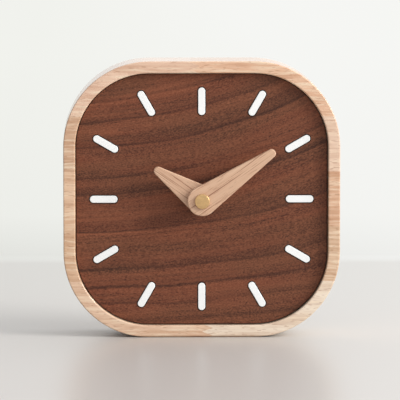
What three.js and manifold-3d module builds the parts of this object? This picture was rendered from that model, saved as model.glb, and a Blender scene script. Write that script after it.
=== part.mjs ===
// A table clock in millimetres, +Z up, standing on z = 0 with its face towards -Y.
// A solid block of pale wood is hollowed from the front for a walnut dial with inlaid
// hour bars, and from behind for a quartz movement, whose shaft carries wooden hands.
import * as THREE from 'three';
import { mergeVertices } from 'three/addons/utils/BufferGeometryUtils.js';
import Module from 'manifold-3d';

const wasm = await Module();
wasm.setup();

// Case block
const caseSize = 140;
const caseDepth = 35;
const caseCornerRadius = 43.4;
const caseEdgeRound = 1.3;
const rimWidth = 6.1;
const rimLip = 3.6;
const webThickness = 4;
const fingerSpace = 12;
const pocketCornerRadius = 14;

// Fits that all pieces share
const seatGap = 0.25;
const pressGap = 0.05;
const runningGap = 0.1;
const cutOverrun = 1;

// Dial panel and its hour bars
const panelThickness = 3;
const panelSideGap = 0.25;
const shaftHoleGap = 0.3;
const markerLength = 14;
const markerWidth = 3.6;
const markerThickness = 1.6;
const markerProud = 0.4;
const markerSideGap = 0.15;
const markerEdgeRound = 0.3;
const quarterMarkerMargin = 14.3;
const otherMarkerMargin = 7.8;
const hoursOnDial = 12;
const hoursPerQuarter = 3;

// Hands, on a plan of two circles joined by their tangents
const hubRadius = 7.45;
const tipRadius = 2.15;
const handThickness = 3;
const handEdgeRound = 0.5;
const minuteHandLength = 44.5;
const hourHandLength = 28.9;
const minuteHandDegrees = 55.4;
const hourHandDegrees = 304;
const handStandoff = 2.4;
const handSpacing = 1.5;
const handBoreGap = 0.1;

// Pieces on the shaft in front of the dial
const washerRadius = 6;
const washerThickness = 0.6;
const nutAcrossFlats = 10;
const nutThickness = 2;
const nutSides = 6;
const bushThreadRadius = 4;
const bushThreadProud = 0.5;
const bushFlangeRadius = 5.5;
const bushFlangeThickness = 0.8;
const hourTubeRadius = 2.5;
const hourTubeRecess = 0.2;
const hourCollarRadius = 5;
const hourSpigotRadius = 3.5;
const minuteShaftRadius = 1.6;
const minuteCollarRadius = 3.4;
const minuteSpigotRadius = 2.6;
const collarThickness = 0.5;
const capRadius = 3.75;
const capHeight = 1.25;
const capEdgeRound = 0.3;
const capBoreDepth = 0.7;

// Battery and the contacts at its ends
const batteryRadius = 7.1;
const batteryCanLength = 49.3;
const batteryEdgeRound = 0.6;
const batteryNubRadius = 2.6;
const batteryNubLength = 1.2;
const batterySideGap = 0.4;
const contactThickness = 0.3;
const contactSideGap = 0.15;
const negativeBump = 1.1;
const positiveBump = 0.6;
const bumpHeight = 8;
const bumpTopHeight = 3;
const contactReach = 3.2;

// Movement housing: its width follows the battery, its height the coil above the middle
const coilTopGap = 2.4;
const gasketRadius = 11;
const gasketThickness = 1;
const shellWall = 1.2;
const shellCornerRadius = 3;
const frontShellDepth = 6;
const bossRadius = 1.2;
const bearingDepth = 1.4;
const fingerNotchRadius = 8;

// Wheel train: thickness and spacing along the shaft, distances between the axes, teeth
const wheelThickness = 0.8;
const layerGap = 0.35;
const pinionOverhang = 0.09;
const trainSpacing = 9.2;
const motionSpacing = 7.5;
const rotorSpacing = 5;
const thirdDirectionDegrees = 35;
const intermediateDirectionDegrees = 120;
const motionDirectionDegrees = 180;
const arborRadius = 0.4;
const secondArborRadius = 0.5;
const motionStudRadius = 0.6;
const minuteNeckRadius = 1.25;
const toothAddendumShare = 0.7;
const toothDedendumShare = 1.6;
const toothTipShare = 0.2;
const minutePinionTeeth = 10;
const motionWheelTeeth = 30;
const motionPinionTeeth = 8;
const hourWheelTeeth = 32;
const centreWheelTeeth = 48;
const trainPinionTeeth = 6;
const thirdWheelTeeth = 45;
const secondWheelTeeth = 45;
const intermediateWheelTeeth = 32;
const rotorPinionTeeth = 8;
const knobPinionTeeth = 10;

// Setting knob
const knobRadius = 6.5;
const knobThickness = 3.2;
const knobFluteDepth = 0.35;
const knobFlutes = 16;
const knobShaftRadius = 1.4;
const knobPivotRadius = 0.6;

// Stepping motor
const magnetRadius = 2.7;
const magnetThickness = 2.2;
const rotorAirGap = 0.35;
const statorThickness = 1;
const statorBelow = 4.2;
const statorAbove = 3.8;
const earWidth = 3.4;
const earSpan = 15.8;
const coilRise = 9.2;
const coreThickness = 0.8;
const bobbinWall = 0.5;
const bobbinFlangeWall = 0.7;
const bobbinFlangeHeight = 5.8;
const bobbinFlangeDepth = 5.4;
const windingRecess = 0.5;
const windingCornerRadius = 0.9;
const statorPinRadius = 0.9;

// Circuit board
const boardStandoff = 2;
const boardThickness = 0.8;
const boardHeight = 10;
const boardTopGap = 1.3;
const chipRadius = 3.2;
const chipHeight = 1;
const chipTopShare = 0.5;
const chipShoulderShare = 0.35;
const chipToCrystal = 9;
const crystalRadius = 1;
const crystalLength = 6;
const crystalMargin = 9.2;
const boardPegMargin = 6.2;

// How finely round shapes are divided
const turnSteps = 32;
const smallSteps = 16;
const cornerSteps = 10;
const tightCornerSteps = 4;
const roundSteps = 2;
const bevelSteps = 1;

// Places along the shaft in front of the dial's surface, which is at zero
const capThreadGap = seatGap;
const washerBack = seatGap;
const nutBack = washerBack + washerThickness + seatGap;
const bushFront = nutBack + nutThickness + bushThreadProud;
const hourHandBack = bushFront + handStandoff;
const hourHandFront = hourHandBack + handThickness;
const minuteHandBack = hourHandFront + handSpacing;
const minuteHandFront = minuteHandBack + handThickness;
const capBack = minuteHandFront + seatGap;
const capFront = capBack + capHeight;
const minuteShaftFront = capBack + capBoreDepth - capThreadGap;
const hourTubeFront = hourHandFront - hourTubeRecess;

// Places along the shaft behind it
const caseBack = rimLip - caseDepth;
const recessFloor = -panelThickness - seatGap;
const webBack = recessFloor - webThickness;
const gasketFront = webBack - seatGap;
const gasketBack = gasketFront - gasketThickness;
const movementFront = gasketBack - seatGap;
const movementDepth = shellWall + 2 * batterySideGap + 2 * batteryRadius;
const movementBack = movementFront - movementDepth;
const chamberFront = movementFront - shellWall;
const chamberBack = movementBack + shellWall;
const shellJoint = movementFront - frontShellDepth;
const bushFlangeFront = chamberFront - seatGap;
const bushFlangeBack = bushFlangeFront - bushFlangeThickness;
const firstLevel = bushFlangeBack - layerGap;
const levels = ['hour', 'motion', 'centre', 'third', 'second', 'intermediate'];
const levelFront = (level) => firstLevel - levels.indexOf(level) * (wheelThickness + layerGap);
const levelBack = (level) => levelFront(level) - wheelThickness;
const frontBossEnd = levelBack('motion');
const knobBossEnd = levelBack('hour');
const rearBossEnd = levelBack('intermediate') - layerGap;
const magnetFront = levelBack('intermediate') - layerGap;
const magnetBack = magnetFront - magnetThickness;
const rotorBossEnd = magnetBack - layerGap;
const statorFront = (magnetFront + magnetBack + statorThickness) / 2;
const statorBack = statorFront - statorThickness;
const coreFront = statorBack - seatGap;
const coreBack = coreFront - coreThickness;
const boardFront = chamberFront - boardStandoff;
const boardBack = boardFront - boardThickness;

// Axes of the train, seen from the front
const quarterTurnDegrees = 90;
const halfTurnDegrees = 180;
const fullTurnDegrees = 360;
const radians = THREE.MathUtils.degToRad;
const stepFrom = (place, distance, degrees) => new THREE.Vector2(
  place.x + distance * Math.cos(radians(degrees)),
  place.y + distance * Math.sin(radians(degrees)),
);
const centrePlace = new THREE.Vector2(0, 0);
const thirdPlace = stepFrom(centrePlace, trainSpacing, thirdDirectionDegrees);
const intermediatePlace = stepFrom(centrePlace, trainSpacing, intermediateDirectionDegrees);
const rotorPlace = stepFrom(intermediatePlace, rotorSpacing, intermediateDirectionDegrees);
const motionPlace = stepFrom(centrePlace, motionSpacing, motionDirectionDegrees);
const motionTeeth = motionWheelTeeth + minutePinionTeeth;
const knobSpacing = motionSpacing * (motionWheelTeeth + knobPinionTeeth) / motionTeeth;
const knobPlace = stepFrom(motionPlace, knobSpacing, motionDirectionDegrees);
const coilPlace = new THREE.Vector2(rotorPlace.x, rotorPlace.y + coilRise);

// Sizes across the movement
const contactSpace = 2 * (contactSideGap + contactThickness + seatGap) + negativeBump + positiveBump;
const bayLength = batteryCanLength + batteryNubLength + contactSpace;
const movementWidth = bayLength + 2 * shellWall;
const innerHalfWidth = bayLength / 2;
const innerHalfHeight = coilPlace.y + bobbinFlangeHeight / 2 + coilTopGap;
const movementHeight = 2 * (innerHalfHeight + shellWall);
const bayBottom = -innerHalfHeight;
const bayTop = bayBottom + 2 * (batterySideGap + batteryRadius);
const batteryHeight = (bayBottom + bayTop) / 2;
const batteryAxis = chamberFront - batterySideGap - batteryRadius;
const contactStrip = 2 * contactSideGap + contactThickness;
const recessHalf = caseSize / 2 - rimWidth;
const boardMiddle = innerHalfHeight - boardTopGap - boardHeight / 2;
const boardHalf = innerHalfWidth - contactStrip;
const crystalPlace = new THREE.Vector2(boardHalf - crystalMargin, boardMiddle);
const chipPlace = new THREE.Vector2(crystalPlace.x - chipToCrystal, boardMiddle);

// Solids: three.js geometry in, three.js geometry out, with the library only joining and cutting
function toSolid(geometry) {
  const bare = geometry.clone();
  bare.deleteAttribute('normal');
  bare.deleteAttribute('uv');
  const welded = mergeVertices(bare);
  const corners = Array.from(welded.index.array);
  const faces = [];
  for (let i = 0; i < corners.length; i += 3) {
    const [a, b, c] = corners.slice(i, i + 3);
    if (a !== b && b !== c && c !== a) faces.push(a, b, c);
  }
  return new wasm.Manifold(new wasm.Mesh({
    numProp: 3,
    vertProperties: new Float32Array(welded.attributes.position.array),
    triVerts: new Uint32Array(faces),
  }));
}

function toGeometry(solid) {
  const mesh = solid.getMesh();
  const geometry = new THREE.BufferGeometry();
  geometry.setAttribute('position', new THREE.BufferAttribute(mesh.vertProperties, 3));
  geometry.setIndex(new THREE.BufferAttribute(mesh.triVerts, 1));
  geometry.computeVertexNormals();
  return geometry;
}

function join(...geometries) {
  const solids = geometries.map(toSolid);
  return toGeometry(solids.reduce((all, next) => all.add(next)));
}

function cut(whole, ...tools) {
  const solids = tools.map(toSolid);
  return toGeometry(solids.reduce((rest, tool) => rest.subtract(tool), toSolid(whole)));
}

// Outlines, seen from the front
function roundedRectangle(width, height, radius) {
  const x = width / 2 - radius;
  const y = height / 2 - radius;
  const shape = new THREE.Shape();
  shape.absarc(x, y, radius, 0, Math.PI / 2);
  shape.absarc(-x, y, radius, Math.PI / 2, Math.PI);
  shape.absarc(-x, -y, radius, Math.PI, Math.PI * 3 / 2);
  shape.absarc(x, -y, radius, Math.PI * 3 / 2, Math.PI * 2);
  return shape;
}

function barOutline(length, width) {
  const reach = (length - width) / 2;
  const shape = new THREE.Shape();
  shape.absarc(0, reach, width / 2, 0, Math.PI);
  shape.absarc(0, -reach, width / 2, Math.PI, Math.PI * 2);
  return shape;
}

function handOutline(length) {
  const reach = length - tipRadius;
  const lean = Math.asin((hubRadius - tipRadius) / reach);
  const shape = new THREE.Shape();
  shape.absarc(0, reach, tipRadius, lean, Math.PI - lean);
  shape.absarc(0, 0, hubRadius, Math.PI - lean, Math.PI * 2 + lean);
  return shape;
}

function gearOutline(teeth, module, phase) {
  const tipCircle = module * (teeth / 2 + toothAddendumShare);
  const rootCircle = module * (teeth / 2 - toothDedendumShare);
  const pitch = Math.PI * 2 / teeth;
  const at = (radius, angle) => new THREE.Vector2(radius * Math.cos(angle), radius * Math.sin(angle));
  const points = [];
  for (let tooth = 0; tooth < teeth; tooth += 1) {
    const middle = phase + tooth * pitch;
    points.push(at(rootCircle, middle - pitch / 2));
    points.push(at(tipCircle, middle - pitch * toothTipShare / 2));
    points.push(at(tipCircle, middle + pitch * toothTipShare / 2));
  }
  return new THREE.Shape(points);
}

// Bodies between two places along the shaft
function prism(shape, back, front, steps = cornerSteps) {
  const options = { depth: front - back, bevelEnabled: false, curveSegments: steps };
  return new THREE.ExtrudeGeometry(shape, options).translate(0, 0, back);
}

function softPrism(shape, back, front, round, steps = cornerSteps, facets = roundSteps) {
  const options = {
    depth: front - back - 2 * round,
    bevelThickness: round,
    bevelSize: round,
    bevelOffset: -round,
    bevelSegments: facets,
    curveSegments: steps,
  };
  return new THREE.ExtrudeGeometry(shape, options).translate(0, 0, back + round);
}

function rod(place, radius, back, front, steps = smallSteps) {
  const cylinder = new THREE.CylinderGeometry(radius, radius, front - back, steps);
  return cylinder.rotateX(Math.PI / 2).translate(place.x, place.y, (front + back) / 2);
}

// The tool for a round hole between two faces
function drill(place, radius, back, front) {
  return rod(place, radius, back - cutOverrun, front + cutOverrun);
}

function block(left, right, bottom, top, back, front) {
  const box = new THREE.BoxGeometry(right - left, top - bottom, front - back);
  return box.translate((left + right) / 2, (bottom + top) / 2, (back + front) / 2);
}

// A turned piece: its profile holds radius and place along the shaft, from the back to the front
function turned(profile, steps = smallSteps) {
  const points = profile.map(([radius, along]) => new THREE.Vector2(radius, along));
  return new THREE.LatheGeometry(points, steps).rotateX(Math.PI / 2);
}

function ring(bore, radius, back, front, steps = smallSteps) {
  return turned([[bore, front], [bore, back], [radius, back], [radius, front], [bore, front]], steps);
}

// The turn of a gear that puts its teeth in the gaps of another one, seen in a direction from that one
function meshPhase(otherPhase, otherTeeth, degreesFromOther, teeth) {
  const direction = radians(degreesFromOther);
  const toothOffset = (direction - otherPhase) * otherTeeth / (Math.PI * 2);
  return direction + Math.PI - (Math.PI * 2 / teeth) * (1 / 2 - toothOffset);
}

const moduleFor = (spacing, teeth, otherTeeth) => 2 * spacing / (teeth + otherTeeth);
const motionModule = moduleFor(motionSpacing, minutePinionTeeth, motionWheelTeeth);
const hourModule = moduleFor(motionSpacing, hourWheelTeeth, motionPinionTeeth);
const centreModule = moduleFor(trainSpacing, centreWheelTeeth, trainPinionTeeth);
const thirdModule = moduleFor(trainSpacing, thirdWheelTeeth, trainPinionTeeth);
const secondModule = moduleFor(trainSpacing, secondWheelTeeth, trainPinionTeeth);
const rotorModule = moduleFor(rotorSpacing, intermediateWheelTeeth, rotorPinionTeeth);

// A wheel of one level, and a pinion that reaches a little past the front of the wheel it meshes with
const wheelAt = (level, teeth, module, phase) => prism(
  gearOutline(teeth, module, phase),
  levelBack(level),
  levelFront(level),
);
const pinionFor = (level, back, teeth, module, phase) => prism(
  gearOutline(teeth, module, phase),
  back,
  levelFront(level) + pinionOverhang,
);

// The hour bars: those of the quarters stand further in
function markerPlace(hour) {
  const degrees = hour * fullTurnDegrees / hoursOnDial;
  const margin = hour % hoursPerQuarter === 0 ? quarterMarkerMargin : otherMarkerMargin;
  return { degrees, middle: stepFrom(centrePlace, recessHalf - margin, quarterTurnDegrees - degrees) };
}

const hours = Array.from({ length: hoursOnDial }, (empty, index) => index + 1);

// The whole clock is built with the dial's surface at zero, then stood up and centred
const clock = new THREE.Group();
clock.rotation.x = Math.PI / 2;
clock.position.set(0, (capFront + caseBack) / 2, caseSize / 2);

function place(name, geometry, look, at = centrePlace, degrees = 0) {
  const [color, roughness, metalness] = look;
  const material = new THREE.MeshStandardMaterial({ color, roughness, metalness });
  const mesh = new THREE.Mesh(geometry, material);
  mesh.name = name;
  mesh.position.set(at.x, at.y, 0);
  mesh.rotation.z = -radians(degrees);
  clock.add(mesh);
}

const paleWood = [0xdcb692, 0.55, 0];
const handWood = [0xd9b390, 0.6, 0];
const walnut = [0x744a3a, 0.5, 0];
const whiteAcrylic = [0xf5f5f3, 0.35, 0];
const satinBrass = [0xc8a069, 0.35, 1];
const blackPlastic = [0x1c1c1e, 0.6, 0];
const whitePlastic = [0xe9e7e0, 0.5, 0];
const softIron = [0x8f9296, 0.45, 1];
const magnetGrey = [0x4a4b4f, 0.4, 1];
const copper = [0xb06a38, 0.35, 1];
const boardGreen = [0x2f6b45, 0.5, 0];
const chipBlack = [0x111113, 0.4, 0];
const nickel = [0xc9c8c2, 0.3, 1];
const rubberBlack = [0x232324, 0.85, 0];
const cellJacket = [0x2e3338, 0.4, 0];

function caseBody() {
  const outline = roundedRectangle(caseSize, caseSize, caseCornerRadius);
  const blank = softPrism(outline, caseBack, rimLip, caseEdgeRound);
  const recess = roundedRectangle(recessHalf * 2, recessHalf * 2, caseCornerRadius - rimWidth);
  const pocketWidth = movementWidth + 2 * fingerSpace;
  const pocketHeight = movementHeight + 2 * fingerSpace;
  const pocket = roundedRectangle(pocketWidth, pocketHeight, pocketCornerRadius);
  return cut(
    blank,
    prism(recess, recessFloor, rimLip + cutOverrun),
    prism(pocket, caseBack - cutOverrun, webBack, tightCornerSteps),
    drill(centrePlace, bushThreadRadius + shaftHoleGap, webBack, recessFloor),
  );
}

function dialPanel() {
  const size = 2 * (recessHalf - panelSideGap);
  const outline = roundedRectangle(size, size, caseCornerRadius - rimWidth - panelSideGap);
  const floor = markerProud - markerThickness - seatGap;
  const slot = barOutline(markerLength + 2 * markerSideGap, markerWidth + 2 * markerSideGap);
  const slots = hours.map((hour) => {
    const { degrees, middle } = markerPlace(hour);
    const tool = prism(slot, floor, cutOverrun, tightCornerSteps);
    return tool.rotateZ(-radians(degrees)).translate(middle.x, middle.y, 0);
  });
  const hole = drill(centrePlace, bushThreadRadius + shaftHoleGap, -panelThickness, 0);
  return cut(prism(outline, -panelThickness, 0), hole, ...slots);
}

place('case_body', caseBody(), paleWood);
place('dial_panel', dialPanel(), walnut);
for (const hour of hours) {
  const { degrees, middle } = markerPlace(hour);
  const bar = softPrism(
    barOutline(markerLength, markerWidth),
    markerProud - markerThickness,
    markerProud,
    markerEdgeRound,
    tightCornerSteps,
    bevelSteps,
  );
  place(`hour_marker_${String(hour).padStart(2, '0')}`, bar, whiteAcrylic, middle, degrees);
}

function hand(length, back, bore) {
  const blank = softPrism(handOutline(length), back, back + handThickness, handEdgeRound);
  return cut(blank, drill(centrePlace, bore, back, back + handThickness));
}

// A collet: a spigot pressed into the hand from behind, with a collar against the hand's back
function handBush(bore, spigot, collar, handBack) {
  const collarFront = handBack - seatGap;
  const collarBack = collarFront - collarThickness;
  const spigotFront = handBack + handThickness - collarThickness;
  return turned([
    [bore, spigotFront],
    [bore, collarBack],
    [collar, collarBack],
    [collar, collarFront],
    [spigot, collarFront],
    [spigot, spigotFront],
    [bore, spigotFront],
  ]);
}

const hourHand = hand(hourHandLength, hourHandBack, hourSpigotRadius + handBoreGap);
const hourBushBore = hourTubeRadius + pressGap;
const hourBush = handBush(hourBushBore, hourSpigotRadius, hourCollarRadius, hourHandBack);
const minuteHand = hand(minuteHandLength, minuteHandBack, minuteSpigotRadius + handBoreGap);
const minuteBushBore = minuteShaftRadius + pressGap;
const minuteBush = handBush(minuteBushBore, minuteSpigotRadius, minuteCollarRadius, minuteHandBack);
place('hour_hand', hourHand, handWood, centrePlace, hourHandDegrees);
place('hour_hand_bush', hourBush, satinBrass);
place('minute_hand', minuteHand, handWood, centrePlace, minuteHandDegrees);
place('minute_hand_bush', minuteBush, satinBrass);

function centreCap() {
  const boreFront = capBack + capBoreDepth;
  return turned([
    [0, boreFront],
    [minuteBushBore, boreFront],
    [minuteBushBore, capBack],
    [capRadius, capBack],
    [capRadius, capFront - capEdgeRound],
    [capRadius - capEdgeRound, capFront],
    [0, capFront],
  ], turnSteps);
}

function fixingNut() {
  const corner = nutAcrossFlats / 2 / Math.cos(Math.PI / nutSides);
  const nutFront = nutBack + nutThickness;
  const blank = rod(centrePlace, corner, nutBack, nutFront, nutSides);
  return cut(blank, drill(centrePlace, bushThreadRadius + pressGap, nutBack, nutFront));
}

function threadedBush() {
  const bore = hourTubeRadius + runningGap;
  return turned([
    [bore, bushFront],
    [bore, bushFlangeBack],
    [bushFlangeRadius, bushFlangeBack],
    [bushFlangeRadius, bushFlangeFront],
    [bushThreadRadius, bushFlangeFront],
    [bushThreadRadius, bushFront],
    [bore, bushFront],
  ]);
}

const bushClearBore = bushThreadRadius + runningGap;
const washer = ring(bushClearBore, washerRadius, washerBack, washerBack + washerThickness);
const gasket = ring(bushClearBore, gasketRadius, gasketBack, gasketFront);
place('centre_cap', centreCap(), satinBrass);
place('fixing_nut', fixingNut(), satinBrass);
place('fixing_washer', washer, satinBrass);
place('threaded_bush', threadedBush(), satinBrass);
place('rubber_gasket', gasket, rubberBlack);

// Shell halves: bosses stand on their inner walls and hold the ends of the arbors
const shellOutline = () => roundedRectangle(movementWidth, movementHeight, shellCornerRadius);
const chamberOutline = () => roundedRectangle(
  innerHalfWidth * 2,
  innerHalfHeight * 2,
  shellCornerRadius - shellWall,
);
const arborPlaces = [thirdPlace, intermediatePlace, rotorPlace];

function frontShell() {
  const tray = cut(
    prism(shellOutline(), shellJoint, movementFront, tightCornerSteps),
    prism(chamberOutline(), shellJoint - cutOverrun, chamberFront, tightCornerSteps),
  );
  const wallMiddle = (movementFront + chamberFront) / 2;
  const bosses = arborPlaces.map((at) => rod(at, bossRadius, frontBossEnd, wallMiddle));
  const knobBoss = rod(knobPlace, bossRadius, knobBossEnd, wallMiddle);
  const stud = rod(motionPlace, motionStudRadius, frontBossEnd, wallMiddle);
  const pegReach = boardHalf - boardPegMargin;
  const pegs = [-pegReach, pegReach].map((x) => (
    rod(new THREE.Vector2(x, boardMiddle), bossRadius, boardFront + seatGap, wallMiddle)
  ));
  const bores = arborPlaces.map((at) => (
    rod(at, arborRadius + runningGap, frontBossEnd - cutOverrun, frontBossEnd + bearingDepth)
  ));
  const pivotBore = knobPivotRadius + runningGap;
  const knobBore = rod(knobPlace, pivotBore, knobBossEnd - cutOverrun, knobBossEnd + bearingDepth);
  const bushHole = drill(centrePlace, bushThreadRadius + pressGap, chamberFront, movementFront);
  return cut(join(tray, ...bosses, knobBoss, stud, ...pegs), ...bores, knobBore, bushHole);
}

function rearShell() {
  const joint = shellJoint - seatGap;
  const shell = cut(
    prism(shellOutline(), movementBack, joint, tightCornerSteps),
    prism(chamberOutline(), chamberBack, joint + cutOverrun, tightCornerSteps),
    block(
      -innerHalfWidth,
      innerHalfWidth,
      bayBottom,
      bayTop,
      movementBack - cutOverrun,
      joint + cutOverrun,
    ),
  );
  const divider = block(
    -boardHalf, boardHalf, bayTop, bayTop + shellWall, movementBack, chamberFront - seatGap,
  );
  const wallMiddle = (movementBack + chamberBack) / 2;
  const bossEnds = [rearBossEnd, rearBossEnd, rotorBossEnd, rearBossEnd];
  const bossPlaces = [...arborPlaces, centrePlace];
  const bosses = bossPlaces.map((at, index) => rod(at, bossRadius, wallMiddle, bossEnds[index]));
  const bores = bossPlaces.map((at, index) => rod(
    at,
    (at === centrePlace ? secondArborRadius : arborRadius) + runningGap,
    bossEnds[index] - bearingDepth,
    bossEnds[index] + cutOverrun,
  ));
  const earPlaces = [-earSpan / 2, earSpan / 2].map((x) => new THREE.Vector2(coilPlace.x + x, coilPlace.y));
  const shoulders = earPlaces.map((at) => rod(at, bossRadius + seatGap, wallMiddle, coreBack - seatGap));
  const pins = earPlaces.map((at) => rod(at, statorPinRadius, wallMiddle, statorFront));
  const knobHole = drill(knobPlace, knobShaftRadius + runningGap, movementBack, chamberBack);
  const notch = new THREE.CylinderGeometry(fingerNotchRadius, fingerNotchRadius, 2 * shellWall, smallSteps);
  notch.translate(0, bayBottom - shellWall / 2, movementBack);
  return cut(join(shell, divider, ...bosses, ...shoulders, ...pins), ...bores, knobHole, notch);
}

place('movement_front_shell', frontShell(), blackPlastic);
place('movement_rear_shell', rearShell(), blackPlastic);

// Wheel train, from the hour wheel at the front to the rotor at the back
function hourWheel() {
  const tube = rod(centrePlace, hourTubeRadius, levelBack('hour'), hourTubeFront);
  const bore = drill(centrePlace, minuteShaftRadius + runningGap, levelBack('hour'), hourTubeFront);
  return cut(join(wheelAt('hour', hourWheelTeeth, hourModule, 0), tube), bore);
}

function minutePipe() {
  const neckFront = levelBack('hour') - layerGap / 2;
  const neckBack = levelBack('centre') - pinionOverhang / 2;
  const shaft = rod(centrePlace, minuteShaftRadius, neckFront, minuteShaftFront);
  const neck = rod(centrePlace, minuteNeckRadius, neckBack, neckFront + layerGap);
  const pinion = wheelAt('motion', minutePinionTeeth, motionModule, 0);
  const bore = drill(centrePlace, secondArborRadius + runningGap, neckBack, minuteShaftFront);
  return cut(join(shaft, neck, pinion), bore);
}

function centreWheel() {
  const wheel = wheelAt('centre', centreWheelTeeth, centreModule, 0);
  const bore = minuteNeckRadius + pressGap;
  return cut(wheel, drill(centrePlace, bore, levelBack('centre'), levelFront('centre')));
}

const motionWheelPhase = meshPhase(0, minutePinionTeeth, motionDirectionDegrees, motionWheelTeeth);

function motionWheel() {
  const phase = meshPhase(0, hourWheelTeeth, motionDirectionDegrees, motionPinionTeeth);
  const wheel = wheelAt('motion', motionWheelTeeth, motionModule, motionWheelPhase);
  const pinion = pinionFor('hour', levelFront('motion'), motionPinionTeeth, hourModule, phase);
  const bore = motionStudRadius + runningGap;
  return cut(
    join(wheel, pinion),
    drill(centrePlace, bore, levelBack('motion'), levelFront('hour')),
  );
}

// A wheel on its arbor, with a pinion in front of it
function arborWheel(wheel, pinion, radius, front) {
  return join(wheel, pinion, rod(centrePlace, radius, arborBack, front));
}

const arborFront = frontBossEnd + bearingDepth - seatGap;
const arborBack = rearBossEnd - bearingDepth + seatGap;
const thirdPhase = meshPhase(0, centreWheelTeeth, thirdDirectionDegrees, trainPinionTeeth);
const secondPhase = meshPhase(0, thirdWheelTeeth, thirdDirectionDegrees + halfTurnDegrees, trainPinionTeeth);
const intermediatePhase = meshPhase(0, secondWheelTeeth, intermediateDirectionDegrees, trainPinionTeeth);
const rotorPhase = meshPhase(0, intermediateWheelTeeth, intermediateDirectionDegrees, rotorPinionTeeth);
const thirdWheel = arborWheel(
  wheelAt('third', thirdWheelTeeth, thirdModule, 0),
  pinionFor('centre', levelFront('third'), trainPinionTeeth, centreModule, thirdPhase),
  arborRadius,
  arborFront,
);
const secondWheel = arborWheel(
  wheelAt('second', secondWheelTeeth, secondModule, 0),
  pinionFor('third', levelFront('second'), trainPinionTeeth, thirdModule, secondPhase),
  secondArborRadius,
  hourHandFront,
);
const intermediateWheel = arborWheel(
  wheelAt('intermediate', intermediateWheelTeeth, rotorModule, 0),
  pinionFor('second', levelFront('intermediate'), trainPinionTeeth, secondModule, intermediatePhase),
  arborRadius,
  arborFront,
);

function rotorPinion() {
  const pinionBack = levelBack('intermediate') - pinionOverhang;
  const arborEnd = rotorBossEnd - bearingDepth + seatGap;
  return join(
    pinionFor('intermediate', pinionBack, rotorPinionTeeth, rotorModule, rotorPhase),
    rod(centrePlace, arborRadius, arborEnd, arborFront),
  );
}

const magnet = ring(arborRadius + pressGap, magnetRadius, magnetBack, magnetFront);

place('hour_wheel', hourWheel(), whitePlastic);
place('minute_pipe', minutePipe(), satinBrass);
place('centre_wheel', centreWheel(), whitePlastic);
place('motion_wheel', motionWheel(), whitePlastic, motionPlace);
place('third_wheel', thirdWheel, whitePlastic, thirdPlace);
place('second_wheel', secondWheel, whitePlastic);
place('intermediate_wheel', intermediateWheel, whitePlastic, intermediatePlace);
place('rotor_pinion', rotorPinion(), whitePlastic, rotorPlace);
place('rotor_magnet', magnet, magnetGrey, rotorPlace);

// Setting knob: its pinion meshes with the motion wheel, its shaft runs out through the rear shell
function settingKnob() {
  const phase = meshPhase(motionWheelPhase, motionWheelTeeth, motionDirectionDegrees, knobPinionTeeth);
  const pinion = wheelAt('motion', knobPinionTeeth, motionModule, phase);
  const knobFront = movementBack - seatGap;
  const pivotFront = knobBossEnd + bearingDepth - seatGap;
  const pivot = rod(centrePlace, knobPivotRadius, levelFront('motion') - layerGap, pivotFront);
  const shaft = rod(centrePlace, knobShaftRadius, knobFront - layerGap, levelBack('motion') + layerGap);
  const rim = [];
  for (let point = 0; point < 2 * knobFlutes; point += 1) {
    const radius = knobRadius - (point % 2) * knobFluteDepth;
    const angle = Math.PI * point / knobFlutes;
    rim.push(new THREE.Vector2(radius * Math.cos(angle), radius * Math.sin(angle)));
  }
  const grip = prism(new THREE.Shape(rim), knobFront - knobThickness, knobFront);
  return join(pinion, pivot, shaft, grip);
}

place('setting_knob', settingKnob(), blackPlastic, knobPlace);

// Stepping motor: the stator's ears and the core lie on the same two pins
const earHalf = earSpan / 2;
const coreHalf = earHalf + earWidth / 2;
const pinHoles = [-earHalf, earHalf].map((side) => drill(
  new THREE.Vector2(coilPlace.x + side, coilPlace.y),
  statorPinRadius + runningGap,
  coreBack,
  statorFront,
));

function statorPlate() {
  const { x, y } = rotorPlace;
  const top = coilPlace.y + earWidth / 2;
  const plate = block(x - coreHalf, x + coreHalf, y - statorBelow, y + statorAbove, statorBack, statorFront);
  const ears = [-earHalf, earHalf].map((side) => {
    const middle = x + side;
    return block(middle - earWidth / 2, middle + earWidth / 2, y, top, statorBack, statorFront);
  });
  return cut(
    join(plate, ...ears),
    drill(rotorPlace, magnetRadius + rotorAirGap, statorBack, statorFront),
    drill(intermediatePlace, bossRadius + rotorAirGap, statorBack, statorFront),
    ...pinHoles,
  );
}

function coilCore() {
  const { x, y } = coilPlace;
  const bar = block(x - coreHalf, x + coreHalf, y - earWidth / 2, y + earWidth / 2, coreBack, coreFront);
  return cut(bar, ...pinHoles);
}

// The coil lies along X round the core, and each of its layers is hollowed to clear the one inside it
const coreMiddle = (coreFront + coreBack) / 2;
const tubeHeight = earWidth + 2 * (runningGap + bobbinWall);
const tubeDepth = coreThickness + 2 * (runningGap + bobbinWall);
const bobbinHalf = earHalf - earWidth / 2 - seatGap;
const aroundCore = (height, depth, left, right) => block(
  coilPlace.x + left,
  coilPlace.x + right,
  coilPlace.y - height / 2,
  coilPlace.y + height / 2,
  coreMiddle - depth / 2,
  coreMiddle + depth / 2,
);

function coilBobbin() {
  const innerEnd = bobbinHalf - bobbinFlangeWall;
  return cut(
    join(
      aroundCore(tubeHeight, tubeDepth, -bobbinHalf, bobbinHalf),
      aroundCore(bobbinFlangeHeight, bobbinFlangeDepth, -bobbinHalf, -innerEnd),
      aroundCore(bobbinFlangeHeight, bobbinFlangeDepth, innerEnd, bobbinHalf),
    ),
    aroundCore(
      earWidth + 2 * runningGap,
      coreThickness + 2 * runningGap,
      -bobbinHalf - cutOverrun,
      bobbinHalf + cutOverrun,
    ),
  );
}

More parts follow.
